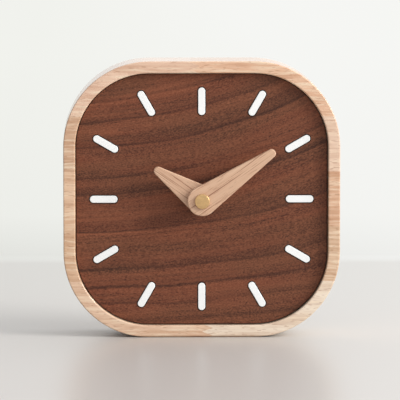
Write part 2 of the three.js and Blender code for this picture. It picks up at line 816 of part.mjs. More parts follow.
function coilWinding() {
  const half = bobbinHalf - bobbinFlangeWall - runningGap;
  const height = bobbinFlangeHeight - windingRecess;
  const section = roundedRectangle(bobbinFlangeDepth - windingRecess, height, windingCornerRadius);
  const outer = prism(section, -half, half, tightCornerSteps)
    .rotateY(Math.PI / 2)
    .translate(coilPlace.x, coilPlace.y, coreMiddle);
  const bore = aroundCore(
    tubeHeight + 2 * runningGap,
    tubeDepth + 2 * runningGap,
    -half - cutOverrun,
    half + cutOverrun,
  );
  return cut(outer, bore);
}

place('stator_plate', statorPlate(), softIron);
place('coil_core', coilCore(), softIron);
place('coil_bobbin', coilBobbin(), whitePlastic);
place('coil_winding', coilWinding(), copper);

// Circuit board on two pegs, with the chip under a blob of resin and the crystal in its can
const boardBottom = boardMiddle - boardHeight / 2;
const board = block(-boardHalf, boardHalf, boardBottom, boardBottom + boardHeight, boardBack, boardFront);
const chipFront = boardBack - seatGap;
const chip = turned([
  [0, chipFront - chipHeight],
  [chipRadius * chipTopShare, chipFront - chipHeight],
  [chipRadius, chipFront - chipHeight * chipShoulderShare],
  [chipRadius, chipFront],
  [0, chipFront],
]);
const crystal = new THREE.CylinderGeometry(crystalRadius, crystalRadius, crystalLength, smallSteps);
crystal.rotateZ(Math.PI / 2).translate(0, 0, boardBack - seatGap - crystalRadius);
place('circuit_board', board, boardGreen);
place('clock_chip', chip, chipBlack, chipPlace);
place('quartz_crystal', crystal, nickel, crystalPlace);

// A contact strip stands along a side wall, from the bay's floor to the board, with a bump for the cell
function contactSpring(side, bump) {
  const wallFace = innerHalfWidth - contactSideGap;
  const cellFace = wallFace - contactThickness;
  const profile = [
    [0, boardMiddle],
    [0, batteryHeight + bumpHeight / 2],
    [bump, batteryHeight + bumpTopHeight / 2],
    [bump, batteryHeight - bumpTopHeight / 2],
    [0, batteryHeight - bumpHeight / 2],
    [0, bayBottom + shellWall],
  ];
  const outer = profile.map(([inward, y]) => new THREE.Vector2(side * (wallFace - inward), y));
  const inner = profile.map(([inward, y]) => new THREE.Vector2(side * (cellFace - inward), y));
  const outline = new THREE.Shape([...outer, ...inner.reverse()]);
  return prism(outline, batteryAxis - contactReach, boardFront);
}

place('battery_contact_negative', contactSpring(-1, negativeBump), nickel);
place('battery_contact_positive', contactSpring(1, positiveBump), nickel);

function batteryCell() {
  const nubEnd = innerHalfWidth - contactSideGap - contactThickness - positiveBump - seatGap;
  const canTop = nubEnd - batteryNubLength;
  const canBottom = canTop - batteryCanLength;
  const cell = turned([
    [0, canBottom],
    [batteryRadius - batteryEdgeRound, canBottom],
    [batteryRadius, canBottom + batteryEdgeRound],
    [batteryRadius, canTop - batteryEdgeRound],
    [batteryRadius - batteryEdgeRound, canTop],
    [batteryNubRadius, canTop],
    [batteryNubRadius, nubEnd],
    [0, nubEnd],
  ], turnSteps);
  return cell.rotateY(Math.PI / 2).translate(0, batteryHeight, batteryAxis);
}

place('aa_battery', batteryCell(), cellJacket);

export default clock;
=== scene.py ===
"""A small table clock: a block of pale wood, a walnut dial with white bars, and wooden hands.

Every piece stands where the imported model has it, in metres, with the dial towards -Y.
"""

import math

import bmesh
import bpy
from mathutils import Matrix, Vector


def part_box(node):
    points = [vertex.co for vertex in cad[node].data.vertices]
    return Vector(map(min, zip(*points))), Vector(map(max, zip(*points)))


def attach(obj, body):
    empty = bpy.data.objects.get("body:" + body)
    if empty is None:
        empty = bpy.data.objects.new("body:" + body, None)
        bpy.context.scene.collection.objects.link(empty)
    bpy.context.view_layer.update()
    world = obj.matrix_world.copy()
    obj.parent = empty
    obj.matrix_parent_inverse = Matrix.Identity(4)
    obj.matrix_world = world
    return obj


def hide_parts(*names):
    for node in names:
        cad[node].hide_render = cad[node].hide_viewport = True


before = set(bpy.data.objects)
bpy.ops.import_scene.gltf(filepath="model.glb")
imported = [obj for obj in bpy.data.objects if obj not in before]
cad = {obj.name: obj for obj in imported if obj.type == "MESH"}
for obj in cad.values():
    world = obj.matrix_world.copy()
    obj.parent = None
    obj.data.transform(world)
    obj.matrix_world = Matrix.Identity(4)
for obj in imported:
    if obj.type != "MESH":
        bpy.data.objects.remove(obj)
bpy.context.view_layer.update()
scene = bpy.context.scene
scene.view_settings.view_transform = "Standard"

# The camera stands far off and a little above the clock, with a long lens, because the
# clock's upright sides stay parallel in the picture.
degrees_above = 5.2
degrees_left = 1.4
lens = bpy.data.cameras.new("camera")
lens.lens = 382.4
lens.sensor_width = 36
lens.clip_end = 30
camera = bpy.data.objects.new("camera", lens)
camera.location = (-0.0532, -2.15, 0.2645)
camera.rotation_euler = (math.radians(90 - degrees_above), 0, -math.radians(degrees_left))
scene.collection.objects.link(camera)
scene.camera = camera


# The table top is a smooth pale board in front of a white wall, which the lens leaves soft
# where the two meet. Both are one wide floor, so that the clock can be seen from any side.
def tone(red, green, blue):
    """A colour as the eye sees it, from 0 to 255, in the linear values that Blender mixes."""
    shares = (value / 255 for value in (red, green, blue))
    linear = [v / 12.92 if v <= 0.04045 else ((v + 0.055) / 1.055) ** 2.4 for v in shares]
    return (*linear, 1)


def node(tree, kind, inputs=(), **settings):
    """A shader node with its settings, its inputs each set to a value or joined to a socket."""
    made = tree.nodes.new(f"ShaderNode{kind}")
    for name, value in settings.items():
        setattr(made, name, value)
    for name, value in dict(inputs).items():
        if isinstance(value, bpy.types.NodeSocket):
            tree.links.new(value, made.inputs[name])
        else:
            made.inputs[name].default_value = value
    return made


def maths(tree, operation, *values):
    """The result of one Math node."""
    return node(tree, "Math", dict(enumerate(values)), operation=operation).outputs[0]


def spread(tree, value, low, high):
    """A value from low to high, spread from 0 to 1."""
    return node(tree, "MapRange", {"Value": value, "From Min": low, "From Max": high}).outputs[0]


def mixed(tree, factor, first, second, blend="MIX"):
    """Two colours mixed by a factor."""
    made = node(tree, "Mix", {0: factor, 6: first, 7: second}, data_type="RGBA", blend_type=blend)
    return made.outputs[2]


def ramp(tree, factor, stops, interpolation="LINEAR"):
    """A colour ramp, its stops given as place and colour."""
    made = node(tree, "ValToRGB", {0: factor})
    band = made.color_ramp
    band.interpolation = interpolation
    band.elements.remove(band.elements[1])
    band.elements[0].position, band.elements[0].color = stops[0]
    for place, colour in stops[1:]:
        band.elements.new(place).color = colour
    return made.outputs[0]


def new_material(name):
    """An empty material with its shader: the material, its tree and its Principled BSDF."""
    material = bpy.data.materials.new(name)
    material.use_nodes = True
    return material, material.node_tree, material.node_tree.nodes["Principled BSDF"]


def seen_share(tree):
    """1 for what the camera sees, plainly or in a reflection, and 0 for what lights the clock."""
    rays = node(tree, "LightPath").outputs
    return maths(tree, "MAXIMUM", rays["Is Camera Ray"], rays["Is Glossy Ray"])


table_edge = 0.367
table_blur = 0.027
floor_half = 8
floor_material, tree, shader = new_material("table_and_wall")
place = node(tree, "SeparateXYZ", {0: node(tree, "TexCoord").outputs["Object"]})
behind = node(tree, "MapRange", {
    "Value": place.outputs["Y"],
    "From Min": table_edge - table_blur,
    "From Max": table_edge + table_blur,
}, interpolation_type="SMOOTHSTEP")
# Painted light: table and wall grow lighter with distance and towards the window on the right,
# and the wall's foot lies in painted shade
table_tone = ramp(tree, maths(tree, "MULTIPLY_ADD", place.outputs["Y"], 1.9, 0.42), [
    (0.0, tone(194, 188, 183)),
    (0.45, tone(195, 190, 185)),
    (1.0, tone(197, 194, 188)),
])
wall_tone = ramp(tree, maths(tree, "MULTIPLY", place.outputs["Y"], 0.4), [
    (0.12, tone(222, 222, 217)),
    (0.19, tone(230, 231, 226)),
    (0.26, tone(237, 238, 233)),
    (0.5, tone(239, 240, 235)),
    (1.0, tone(241, 242, 237)),
])
# Painted window light: the table and the wall grow lighter to the right, nearer the window
painted_window_light = spread(tree, place.outputs["X"], -0.12, 0.14)
table_tone = mixed(tree, maths(tree, "MULTIPLY", painted_window_light, 0.3), table_tone, tone(235, 232, 228))
wall_tone = mixed(tree, maths(tree, "MULTIPLY", painted_window_light, 0.5), wall_tone, tone(250, 250, 249))
tree.links.new(mixed(tree, behind.outputs[0], table_tone, wall_tone), shader.inputs["Base Color"])
shader.inputs["Roughness"].default_value = 0.32
glow = node(tree, "Emission", {"Color": wall_tone, "Strength": 1})
surface = node(tree, "MixShader", {
    0: maths(tree, "MULTIPLY", seen_share(tree), behind.outputs[0]),
    1: shader.outputs[0],
    2: glow.outputs[0],
})
tree.links.new(surface.outputs[0], tree.nodes["Material Output"].inputs["Surface"])

bm = bmesh.new()
bmesh.ops.create_grid(bm, x_segments=1, y_segments=1, size=floor_half)
floor_mesh = bpy.data.meshes.new("table_top")
bm.to_mesh(floor_mesh)
bm.free()
floor_mesh.materials.append(floor_material)
floor = bpy.data.objects.new("table_top", floor_mesh)
scene.collection.objects.link(floor)

# The light of a bright room comes mostly from a window on the right and from the ceiling.
world = bpy.data.worlds.new("room")
scene.world = world
world.use_nodes = True
tree = world.node_tree
even_light = 0.63
right_light = 0.85
least_light = 0.06
ceiling_light = 0.4
towards = node(tree, "SeparateXYZ", {0: node(tree, "TexCoord").outputs["Generated"]})
daylight = maths(tree, "MULTIPLY_ADD", towards.outputs["X"], right_light, even_light)
daylight = maths(tree, "MAXIMUM", daylight, least_light)
upwards = maths(tree, "MAXIMUM", towards.outputs["Z"], 0)
daylight = maths(tree, "MULTIPLY_ADD", upwards, ceiling_light, daylight)
room = node(tree, "Background", {"Color": tone(247, 249, 252), "Strength": daylight})
backdrop = node(tree, "Background", {"Color": tone(247, 247, 245), "Strength": 1})
sky = node(tree, "MixShader", {
    0: seen_share(tree),
    1: room.outputs[0],
    2: backdrop.outputs[0],
})
tree.links.new(sky.outputs[0], tree.nodes["World Output"].inputs["Surface"])

window_light = bpy.data.lights.new("window", "AREA")
window_light.shape = "SQUARE"
window_light.size = 1.1
window_light.energy = 52
window_light.color = tone(255, 254, 251)[:3]
window = bpy.data.objects.new("window", window_light)
window.location = (2.1, -0.95, 1.15)
towards_clock = Vector((0, 0, 0.07)) - window.location
window.rotation_euler = towards_clock.to_track_quat("-Z", "Y").to_euler()
scene.collection.objects.link(window)

# The case is a solid block of rubberwood staves, finger-jointed end to end and glued edge to
# edge with their grain level, routed from the front for the dial and from behind for the
# movement. Its edges are eased by a router and it has a satin lacquer.
dial_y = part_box("dial_panel")[0].y
case_half = 0.07
middle = case_half
# Turned pieces and boards are drawn lying face up round the axis of the hands, then stood up
stand_up = Matrix.Translation((0, dial_y, middle)) @ Matrix.Rotation(math.pi / 2, 4, "X")

case_corner = 0.0434
case_back = -0.0314
rim_front = 0.0036
rim_width = 0.0061
recess_floor = -0.00325
web_back = -0.00725
shaft_hole = 0.0043
pocket_half = 0.04
pocket_corner = 0.014
corner_steps = 22
bore_steps = 48
edge_ease = 0.0006
rim_ease = 0.0008


def square_loop(bm, half, corner, forward):
    """The edges of a square with round corners, at a place forward of the dial's surface."""
    made = bmesh.ops.create_grid(
        bm, x_segments=1, y_segments=1, size=half, matrix=Matrix.Translation((0, 0, forward))
    )
    bmesh.ops.bevel(
        bm, geom=made["verts"], offset=corner, segments=corner_steps, profile=0.5,
        affect="VERTICES", material=-1,
    )
    (face,) = bm.faces
    edges = list(face.edges)
    bmesh.ops.delete(bm, geom=[face], context="FACES_ONLY")
    return edges


def edges_of(verts):
    """The edges that start or end at these vertices."""
    return list({edge for vert in verts for edge in vert.link_edges})


def circle_loop(bm, radius, forward, steps):
    """The edges of a circle, at a place forward of the dial's surface."""
    made = bmesh.ops.create_circle(
        bm, segments=steps, radius=radius, matrix=Matrix.Translation((0, 0, forward))
    )
    return edges_of(made["verts"])


def bridge(bm, loops):
    """Joins each loop to the next one, which has as many edges.

    A bridge between loops in one plane can twist, so one stands aside meanwhile.
    """
    for first, second in zip(loops, loops[1:]):
        aside = list({vert for edge in second for vert in edge.verts})
        bmesh.ops.translate(bm, verts=aside, vec=(0, 0, case_half))
        bmesh.ops.bridge_loops(bm, edges=first + second)
        bmesh.ops.translate(bm, verts=aside, vec=(0, 0, -case_half))


def ease(bm, edges, width, segments):
    """Rounds edges over."""
    bmesh.ops.bevel(
        bm, geom=edges, offset=width, segments=segments, profile=0.5, affect="EDGES",
        material=-1, clamp_overlap=True,
    )


def show(name, bm, material, body, replaced, sharp=35, place=stand_up):
    """A finished piece: put in place and shaded, on its body and instead of its CAD node."""
    bmesh.ops.transform(bm, matrix=place, verts=bm.verts)
    bmesh.ops.recalc_face_normals(bm, faces=bm.faces)
    mesh = bpy.data.meshes.new(name)
    bm.to_mesh(mesh)
    bm.free()
    mesh.polygons.foreach_set("use_smooth", [True] * len(mesh.polygons))
    mesh.set_sharp_from_angle(angle=math.radians(sharp))
    mesh.materials.append(material)
    made = bpy.data.objects.new(name, mesh)
    scene.collection.objects.link(made)
    flatten = made.modifiers.new("flat_faces", "WEIGHTED_NORMAL")
    flatten.keep_sharp = True
    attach(made, body)
    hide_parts(replaced)


bm = bmesh.new()
outer_back = square_loop(bm, case_half, case_corner, case_back)
outer_front = square_loop(bm, case_half, case_corner, rim_front)
recess = case_half - rim_width
rim_inner = square_loop(bm, recess, case_corner - rim_width, rim_front)
recess_edge = square_loop(bm, recess, case_corner - rim_width, recess_floor)
hole_steps = 4 * (corner_steps + 1)
hole_front = circle_loop(bm, shaft_hole, recess_floor, hole_steps)
hole_back = circle_loop(bm, shaft_hole, web_back, hole_steps)
pocket_floor = square_loop(bm, pocket_half, pocket_corner, web_back)
pocket_edge = square_loop(bm, pocket_half, pocket_corner, case_back)
bridge(bm, [
    outer_back, outer_front, rim_inner, recess_edge, hole_front, hole_back, pocket_floor,
    pocket_edge, outer_back,
])
ease(bm, outer_front + outer_back, edge_ease, 4)
ease(bm, rim_inner, rim_ease, 4)
ease(bm, pocket_edge, edge_ease, 3)


def new_group(name, inputs, outputs):
    """A shader node group with its named sockets: the group, its input and its output node."""
    group = bpy.data.node_groups.new(name, "ShaderNodeTree")
    sockets = group.interface
    for label, kind, value in inputs:
        made = sockets.new_socket(label, in_out="INPUT", socket_type=f"NodeSocket{kind}")
        made.default_value = value
    for label, kind in outputs:
        sockets.new_socket(label, in_out="OUTPUT", socket_type=f"NodeSocket{kind}")
    return group, group.nodes.new("NodeGroupInput"), group.nodes.new("NodeGroupOutput")


def use_group(tree, group, inputs):
    """A group placed in a material, with its own values."""
    made = tree.nodes.new("ShaderNodeGroup")
    made.node_tree = group
    for name, value in inputs.items():
        if isinstance(value, bpy.types.NodeSocket):
            tree.links.new(value, made.inputs[name])
        else:
            made.inputs[name].default_value = value
    return made


# Every wood here has broad figure, streaks, fine fibres and short dark pores, which all run
# with the grain. Each is noise on coordinates divided by the size of its marks, in metres.
wood_grain, grain_in, grain_out = new_group(
    "wood_grain",
    [
        ("Vector", "Vector", (0, 0, 0)),
        ("Warp", "Float", 0.001),
        ("Figure Size", "Vector", (0.06, 0.004, 0.004)),
        ("Streak Size", "Vector", (0.02, 0.001, 0.001)),
        ("Fibre Size", "Vector", (0.006, 0.0005, 0.0005)),
        ("Pore Size", "Vector", (0.003, 0.0004, 0.0004)),
        ("Pore Share", "Float", 0.5),
        ("Seed", "Float", 0),
    ],
    [("Figure", "Float"), ("Streaks", "Float"), ("Fibre", "Float"), ("Pores", "Float")],
)


def vector_maths(tree, operation, *values):
    """The vector that one Vector Math node gives."""
    return node(tree, "VectorMath", dict(enumerate(values)), operation=operation).outputs[0]


def stretched_noise(tree, vector, size, seed, detail=2, output="Fac"):
    """Noise whose marks have the given size along each axis."""
    made = node(tree, "TexNoise", {
        "Vector": vector_maths(tree, "DIVIDE", vector, size),
        "W": seed,
        "Scale": 1,
        "Detail": detail,
        "Roughness": 0.55,
    }, noise_dimensions="4D")
    return made.outputs[output]


seed = grain_in.outputs["Seed"]
straight = grain_in.outputs["Vector"]
drift = stretched_noise(wood_grain, straight, (0.05, 0.03, 0.02), seed, 1, "Color")
drift = vector_maths(wood_grain, "SUBTRACT", drift, (0.5, 0.5, 0.5))
sideways = vector_maths(wood_grain, "MULTIPLY", drift, (0, 1, 1))
warped = {0: sideways, "Scale": grain_in.outputs["Warp"]}
shift = node(wood_grain, "VectorMath", warped, operation="SCALE").outputs[0]
grain_place = vector_maths(wood_grain, "ADD", straight, shift)
for label, output, detail in (
    ("Figure", "Figure", 3),
    ("Streak", "Streaks", 3),
    ("Fibre", "Fibre", 1),
    ("Pore", "Pores", 0),
):
    size = grain_in.outputs[f"{label} Size"]
    marks = stretched_noise(wood_grain, grain_place, size, seed, detail)
    if label == "Pore":
        start = maths(wood_grain, "MULTIPLY_ADD", grain_in.outputs["Pore Share"], -0.16, 0.74)
        marks = spread(wood_grain, marks, start, maths(wood_grain, "ADD", start, 0.05))
    wood_grain.links.new(marks, grain_out.inputs[output])


def raise_marks(tree, shader, height, distance, strength):
    """Lets light show the relief of a surface."""
    bump = node(tree, "Bump", {"Height": height, "Distance": distance, "Strength": strength})
    tree.links.new(bump.outputs[0], shader.inputs["Normal"])


def finish_wood(tree, shader, grain, colour, pore_colour, pore_depth, roughness):
    """Adds pores and relief to a wood's colour."""
    pores = maths(tree, "MULTIPLY", grain.outputs["Pores"], pore_depth)
    tree.links.new(mixed(tree, pores, colour, pore_colour), shader.inputs["Base Color"])
    rough = maths(tree, "MULTIPLY_ADD", grain.outputs["Fibre"], 0.16, roughness - 0.08)
    tree.links.new(rough, shader.inputs["Roughness"])
    relief = maths(tree, "MULTIPLY_ADD", grain.outputs["Pores"], -0.6, grain.outputs["Fibre"])
    raise_marks(tree, shader, relief, 0.00006, 0.5)


pale_wood, tree, shader = new_material("pale_wood")
coordinates = node(tree, "TexCoord").outputs["Object"]
place = node(tree, "SeparateXYZ", {0: coordinates})
finger_pitch = 0.0038
finger_reach = 0.0055
strips = 5
figure_shade = (0.77, 0.66, 0.585, 1)
streak_shade = (0.72, 0.6, 0.54, 1)
end_grain_shade = (0.84, 0.8, 0.76, 1)
painted_contact_shade = (0.3, 0.23, 0.17, 1)
strip = maths(tree, "DIVIDE", place.outputs["Z"], 2 * case_half)
# How far across each strip of staves its joint lies, from the foot upwards
joint_places = ramp(tree, strip, [
    (share, (across, across, across, 1))
    for share, across in ((0, 0.52), (0.2, 0.26), (0.4, 0.78), (0.6, 0.2), (0.8, 0.475))
], "CONSTANT")
zigzag = maths(tree, "PINGPONG", maths(tree, "ADD", place.outputs["Z"], 0.001), finger_pitch / 2)
finger = maths(tree, "MULTIPLY_ADD", zigzag, 2 * finger_reach / finger_pitch, -finger_reach / 2)
joint = maths(tree, "MULTIPLY_ADD", joint_places, 2 * case_half, -case_half)
joint = maths(tree, "ADD", joint, finger)
right_stave = maths(tree, "GREATER_THAN", place.outputs["X"], joint)
left_tones = ramp(tree, strip, [
    (0.0, tone(234, 200, 171)),
    (0.2, tone(226, 189, 156)),
    (0.4, tone(233, 197, 165)),
    (0.6, tone(215, 176, 145)),
    (0.8, tone(239, 205, 180)),
], "CONSTANT")
right_tones = ramp(tree, strip, [
    (0.0, tone(244, 228, 208)),
    (0.2, tone(223, 190, 159)),
    (0.4, tone(224, 182, 150)),
    (0.6, tone(237, 207, 183)),
    (0.8, tone(236, 195, 164)),
], "CONSTANT")
stave_tone = mixed(tree, right_stave, left_tones, right_tones)
strip_number = maths(tree, "FLOOR", maths(tree, "MULTIPLY", strip, strips))
strip_seed = maths(tree, "MULTIPLY", strip_number, 3.7)
grain = use_group(tree, wood_grain, {
    "Vector": coordinates,
    "Warp": 0.006,
    "Figure Size": (0.07, 0.012, 0.0042),
    "Streak Size": (0.016, 0.0016, 0.0012),
    "Fibre Size": (0.005, 0.0006, 0.0006),
    "Pore Size": (0.0032, 0.0005, 0.00045),
    "Pore Share": 0.5,
    "Seed": maths(tree, "MULTIPLY_ADD", right_stave, 11.3, strip_seed),
})
figure = maths(tree, "MULTIPLY", spread(tree, grain.outputs["Figure"], 0.36, 0.66), 0.8)
colour = mixed(tree, figure, stave_tone, figure_shade, "MULTIPLY")
light_streaks = spread(tree, grain.outputs["Streaks"], 0.5, 0.3)
colour = mixed(tree, maths(tree, "MULTIPLY", light_streaks, 0.7), colour, tone(243, 222, 194))
dark_streaks = spread(tree, grain.outputs["Streaks"], 0.52, 0.72)
dark_streaks = maths(tree, "MULTIPLY", dark_streaks, 0.6)
colour = mixed(tree, dark_streaks, colour, streak_shade, "MULTIPLY")
facing = node(tree, "SeparateXYZ", {0: node(tree, "NewGeometry").outputs["True Normal"]})
end_grain = spread(tree, maths(tree, "ABSOLUTE", facing.outputs["X"]), 0.25, 0.9)
colour = mixed(tree, end_grain, colour, end_grain_shade, "MULTIPLY")
# Painted contact shadow: the lowest 1.2 mm of the block is darkened where it stands on the table
painted_contact_shadow = spread(tree, place.outputs["Z"], 0.0012, 0.0002)
colour = mixed(tree, painted_contact_shadow, colour, painted_contact_shade, "MULTIPLY")
finish_wood(tree, shader, grain, colour, tone(160, 108, 78), 0.42, 0.42)
shader.inputs["Specular IOR Level"].default_value = 0.1
shader.inputs["Coat Weight"].default_value = 1
shader.inputs["Coat Roughness"].default_value = 0.16
show("case_block", bm, pale_wood, "case", "case_body")


# The dial is a walnut board let into the block with its edges eased. Its figure rises to the
# right in one sweep. Its edge and the twelve slots for the hour bars are cut by laser, which
# leaves them scorched, and their darkening also paints the shade that lies in the narrow gaps.
bar_length = 0.014
bar_width = 0.0036
bar_gap = 0.00027
slot_floor = -0.00145
quarter_radius = 0.0496
other_radius = 0.0561
board_back = -0.003
board_gap = 0.00025
board_ease = 0.0005
bar_steps = 34


def bar_place(hour):
    """Where an hour's bar lies, and its turn."""
    radius = quarter_radius if hour % 3 == 0 else other_radius
    return Matrix.Rotation(-math.radians(30 * hour), 4, "Z") @ Matrix.Translation((0, radius, 0))


def bar_loop(bm, half_width, forward, place):
    """The edges round a bar with round ends."""
    made = bmesh.ops.create_circle(bm, segments=bar_steps, radius=half_width)
    reach = (bar_length - bar_width) / 2
    for side in (-1, 1):
        end = [vert for vert in made["verts"] if vert.co.y * side > 0]
        bmesh.ops.translate(bm, verts=end, vec=(0, side * reach, 0))
    lift = Matrix.Translation((0, 0, forward))
    bmesh.ops.transform(bm, matrix=place @ lift, verts=made["verts"])
    return edges_of(made["verts"])


def fill(bm, edges):
    """Fills a flat outline, with any holes in it, so that it faces forward."""
    bmesh.ops.triangle_fill(bm, edges=edges, use_beauty=True, normal=(0, 0, 1))


bm = bmesh.new()
board_half = recess - board_gap
board_corner = case_corner - rim_width - board_gap
edge_loops = [
    square_loop(bm, board_half - inset, board_corner - inset, forward)
    for inset, forward in (
        (board_ease, 0),
        (0.3 * board_ease, -0.3 * board_ease),
        (0, -board_ease),
        (0, board_back),
    )
]
slots = [
    [
        bar_loop(bm, bar_width / 2 + wider, forward, bar_place(hour))
        for wider, forward in (
            (2 * bar_gap, 0),
            (bar_gap, -bar_gap),
            (bar_gap, slot_floor),
        )
    ]
    for hour in range(1, 13)
]
bush_hole = [circle_loop(bm, shaft_hole, forward, bore_steps) for forward in (0, board_back)]
for loops in (edge_loops, bush_hole, *slots):
    bridge(bm, loops)
for slot in slots:
    fill(bm, slot[-1])
fill(bm, [edge for loops in (edge_loops, bush_hole, *slots) for edge in loops[0]])
fill(bm, edge_loops[-1] + bush_hole[-1])

# How fast the figure curves up at the foot, and how much faster a metre above it
sweep_at_foot = 0.245
sweep_growth = 12.86
walnut, tree, shader = new_material("walnut")
place = node(tree, "SeparateXYZ", {0: node(tree, "TexCoord").outputs["Object"]})
from_left = maths(tree, "ADD", place.outputs["X"], case_half)
sweep = maths(tree, "MULTIPLY_ADD", place.outputs["Z"], sweep_growth, sweep_at_foot)
rise = maths(tree, "MULTIPLY", maths(tree, "MULTIPLY", from_left, from_left), sweep)
across = maths(tree, "SUBTRACT", place.outputs["Z"], rise)
with_grain = node(tree, "CombineXYZ", {
    "X": place.outputs["X"],
    "Y": place.outputs["Y"],
    "Z": across,
}).outputs[0]
for size, seed, detail, reach in (
    ((0.035, 0.03, 0.02), 3, 0, 0.003),
    ((0.006, 0.004, 0.002), 6, 2, 0.0012),
):
    waver = stretched_noise(tree, with_grain, size, seed, detail)
    across = maths(tree, "ADD", across, maths(tree, "MULTIPLY_ADD", waver, reach, -reach / 2))
level = maths(tree, "DIVIDE", across, 2 * case_half)
# Where each dark line starts at the left side, as a share of the height, and how dark it is.
# It starts sharply and fades away above.
dark_lines = (
    (0.05, 0.55), (0.112, 0.7), (0.172, 0.95), (0.238, 0.9), (0.378, 0.85),
    (0.515, 1.0), (0.572, 0.65), (0.685, 1.0), (0.773, 0.9), (0.85, 0.6),
)
stops = []
for start, strength in dark_lines:
    core = (strength,) * 3 + (1,)
    tail = (0.38 * strength,) * 3 + (1,)
    stops += [(start - 0.003, (0, 0, 0, 1)), (start + 0.002, core), (start + 0.01, tail)]
lines = ramp(tree, level, stops)
# The middle and the half width of each light band between them
light_places = (
    (0.135, 0.01), (0.215, 0.009), (0.275, 0.016), (0.33, 0.014),
    (0.55, 0.014), (0.622, 0.024), (0.75, 0.018), (0.797, 0.01),
)
stops = []
for centre, half_width in light_places:
    stops += [
        (centre - half_width, (0, 0, 0, 1)),
        (centre, (1, 1, 1, 1)),
        (centre + half_width, (0, 0, 0, 1)),
    ]
light_bands = ramp(tree, level, stops)
grain = use_group(tree, wood_grain, {
    "Vector": with_grain,
    "Warp": 0.002,
    "Figure Size": (0.11, 0.03, 0.0075),
    "Streak Size": (0.07, 0.004, 0.0013),
    "Fibre Size": (0.001, 0.0006, 0.0005),
    "Pore Size": (0.0017, 0.0004, 0.0003),
    "Pore Share": 0.35,
    "Seed": 21,
})
gap_shade = (0.58, 0.52, 0.5, 1)
broken = spread(tree, stretched_noise(tree, with_grain, (0.03, 0.01, 0.005), 8, 1), 0.35, 0.6)
lines = maths(tree, "MULTIPLY", lines, maths(tree, "MULTIPLY_ADD", broken, 0.4, 0.7))
green = spread(tree, stretched_noise(tree, with_grain, (0.07, 0.04, 0.014), 15, 1), 0.48, 0.62)
colour = ramp(tree, spread(tree, grain.outputs["Figure"], 0.34, 0.66), [
    (0.0, tone(144, 83, 57)),
    (0.5, tone(121, 65, 44)),
    (1.0, tone(85, 45, 31)),
])
colour = mixed(tree, maths(tree, "MULTIPLY", green, 0.5), colour, tone(92, 62, 42))
streaks = spread(tree, grain.outputs["Streaks"], 0.42, 0.64)
colour = mixed(tree, maths(tree, "MULTIPLY", streaks, 0.48), colour, tone(62, 34, 26))
ring_spacing = 0.0026
ring_drift = stretched_noise(tree, with_grain, (0.15, 0.05, 0.01), 12, 1)
ring_drift = maths(tree, "MULTIPLY", ring_drift, 5)
ring = maths(tree, "FRACT", maths(tree, "MULTIPLY_ADD", across, 1 / ring_spacing, ring_drift))
ring = maths(tree, "POWER", spread(tree, ring, 0.3, 1), 3)
patches = stretched_noise(tree, with_grain, (0.05, 0.03, 0.008), 33, 1)
patches = maths(tree, "MULTIPLY", spread(tree, patches, 0.42, 0.6), 0.6)
ring = maths(tree, "MULTIPLY", ring, patches)
colour = mixed(tree, ring, colour, tone(48, 26, 21))
colour = mixed(tree, maths(tree, "MULTIPLY", light_bands, 0.3), colour, tone(148, 89, 62))
fibre = spread(tree, grain.outputs["Fibre"], 0.3, 0.7)
colour = mixed(tree, maths(tree, "MULTIPLY", fibre, 0.56), colour, tone(157, 99, 71))
between = maths(tree, "MULTIPLY_ADD", fibre, -0.5, 0.5)
colour = mixed(tree, between, colour, gap_shade, "MULTIPLY")
colour = mixed(tree, maths(tree, "MULTIPLY", lines, 0.72), colour, tone(38, 20, 16))
# Laser scorch with painted shade: the board's edge and the slot walls darken below the surface,
# where the gaps lie in shade
scorch_and_painted_shade = spread(tree, place.outputs["Y"], dial_y + 0.00005, dial_y + 0.0002)
colour = mixed(tree, scorch_and_painted_shade, colour, tone(15, 9, 11))
finish_wood(tree, shader, grain, colour, tone(42, 24, 17), 0.68, 0.55)
shader.inputs["Specular IOR Level"].default_value = 0.25
show("dial_board", bm, walnut, "case", "dial_panel")


# Twelve bars of white acrylic with round ends are pressed into the slots and stand a little
# proud of the dial. Those of the quarters stand nearer the middle.
bar_back = -0.0012
bar_front = 0.0004
bar_ease = 0.00025

white_acrylic, tree, shader = new_material("white_acrylic")
coordinates = node(tree, "TexCoord").outputs["Object"]
cloud = stretched_noise(tree, coordinates, (0.002, 0.002, 0.002), 0, 3)
colour = mixed(tree, cloud, tone(248, 250, 249), tone(253, 254, 253))
tree.links.new(colour, shader.inputs["Base Color"])
tree.links.new(maths(tree, "MULTIPLY_ADD", cloud, 0.12, 0.28), shader.inputs["Roughness"])

for hour in range(1, 13):
    bm = bmesh.new()
    foot = bar_loop(bm, bar_width / 2, bar_back, bar_place(hour))
    top = bar_loop(bm, bar_width / 2, bar_front, bar_place(hour))
    bridge(bm, [foot, top])
    for loop in (foot, top):
        bmesh.ops.contextual_create(bm, geom=loop)
    ease(bm, top, bar_ease, 3)
    name = f"hour_marker_{hour:02d}"
    show(f"bar_{hour:02d}", bm, white_acrylic, "case", name)


# The hands are sawn from thin pale wood with the grain along them, round at both ends and
# sanded soft at the edges. Brass collets in their hubs grip the tube and the shaft.
hub_radius = 0.00745
tip_radius = 0.00215
hand_thickness = 0.003
hand_ease = 0.0005
hand_steps = 64
# Points nearer to each other than this are one
tiny = 1e-6


